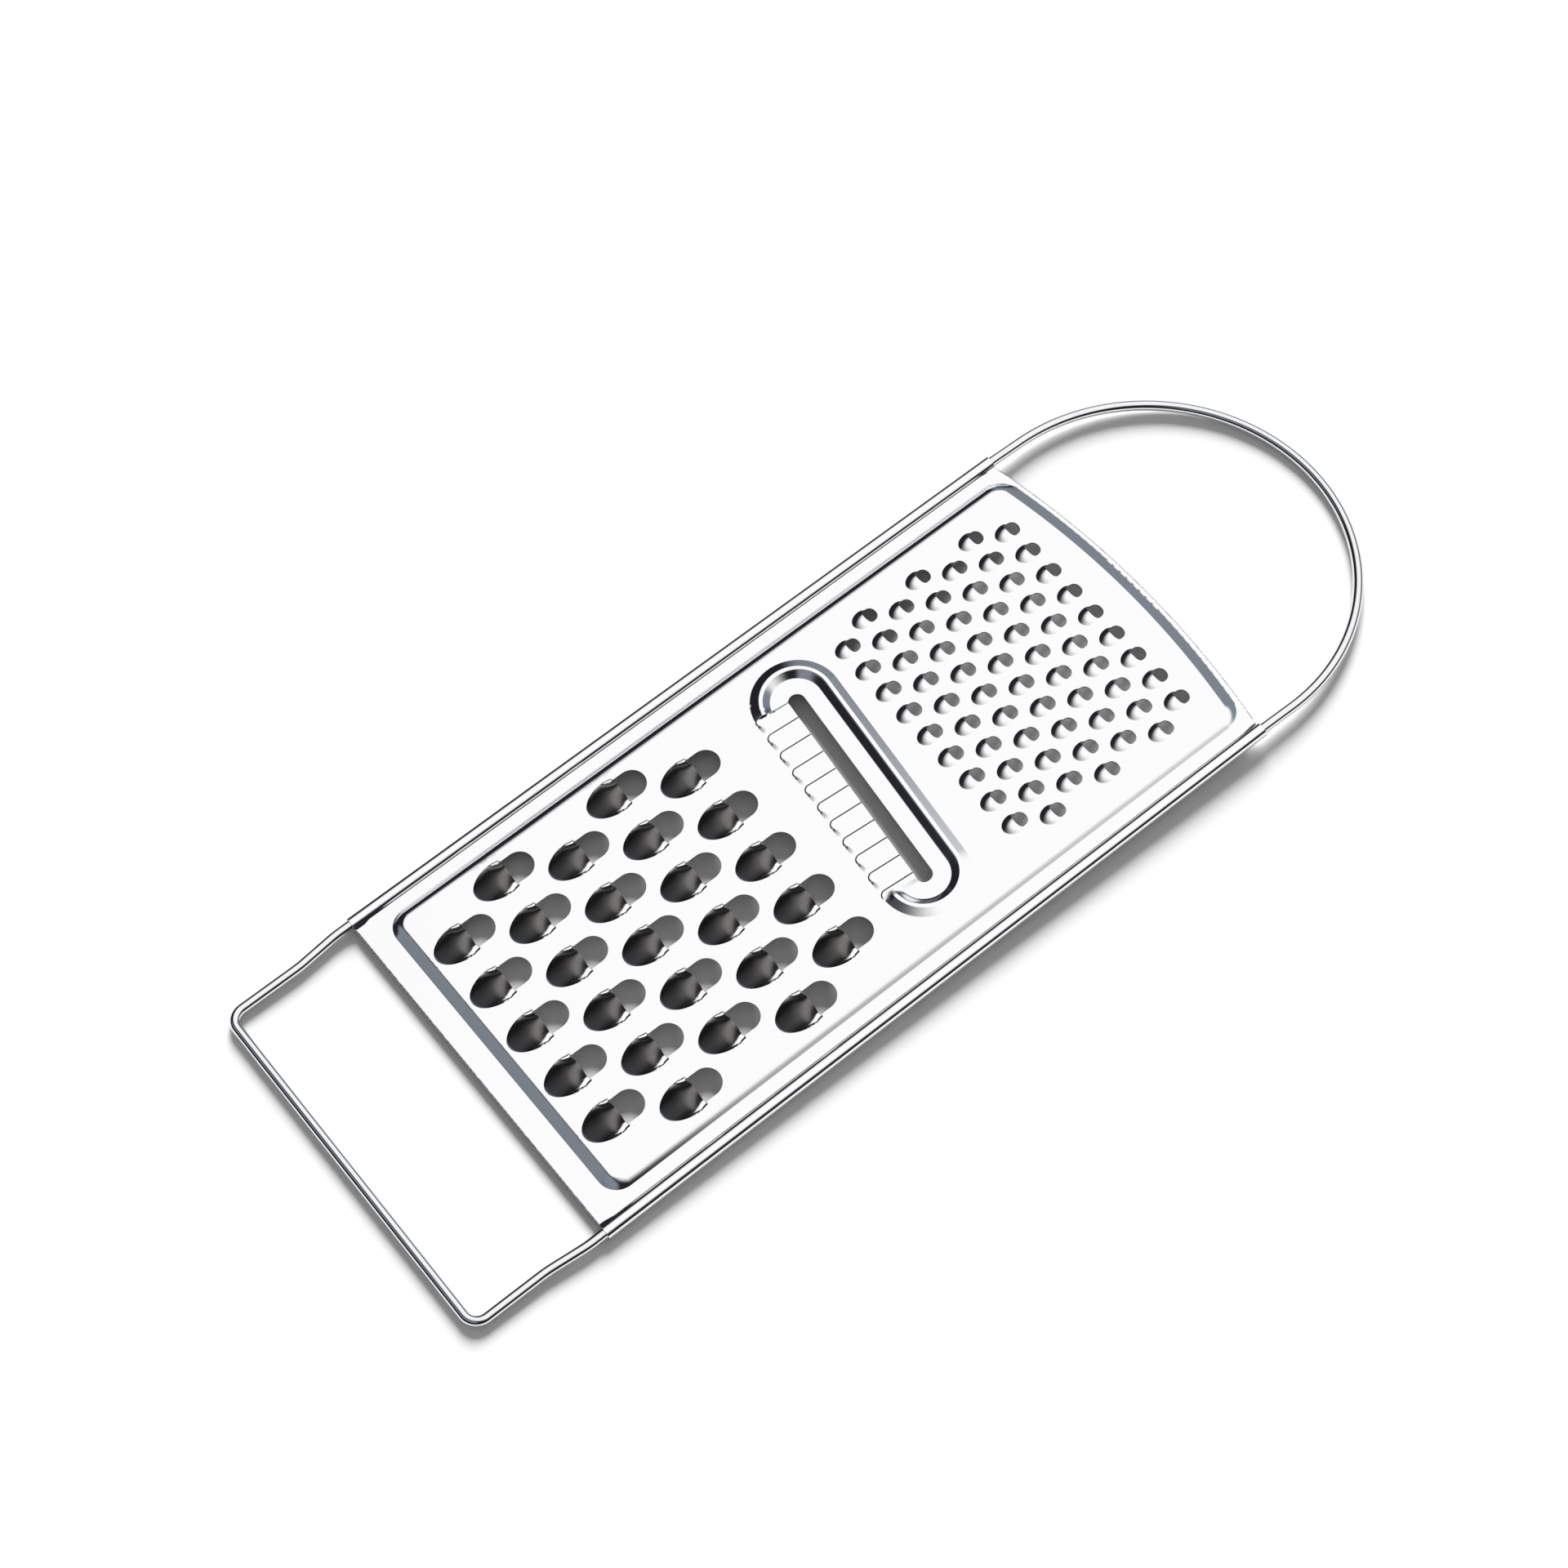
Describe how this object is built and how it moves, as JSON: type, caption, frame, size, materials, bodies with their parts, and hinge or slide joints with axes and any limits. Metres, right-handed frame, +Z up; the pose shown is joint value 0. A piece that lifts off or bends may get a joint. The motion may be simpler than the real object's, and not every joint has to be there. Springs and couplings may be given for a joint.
{
  "type": "grater",
  "caption": "Flat hand grater: pressed steel plate with coarse teeth, crinkle slicer and fine teeth, edges rolled round a wire with arched handle and foot loop.",
  "frame": {"origin": "under the middle of the grater's outline, level with its lowest point, the underside of the handle arch's tip", "axes": "+X from the foot loop to the handle, +Y to the left when looking from foot to handle, +Z up through the cutting side"},
  "size_m": [0.284, 0.1, 0.0086],
  "materials": {
    "plate_steel": "bright rolled stainless steel with a fine grain",
    "wire_steel": "polished bright wire"
  },
  "bodies": {
    "root": {"grating_plate": "plate_steel", "wire_frame": "wire_steel"}
  },
  "joints": []
}
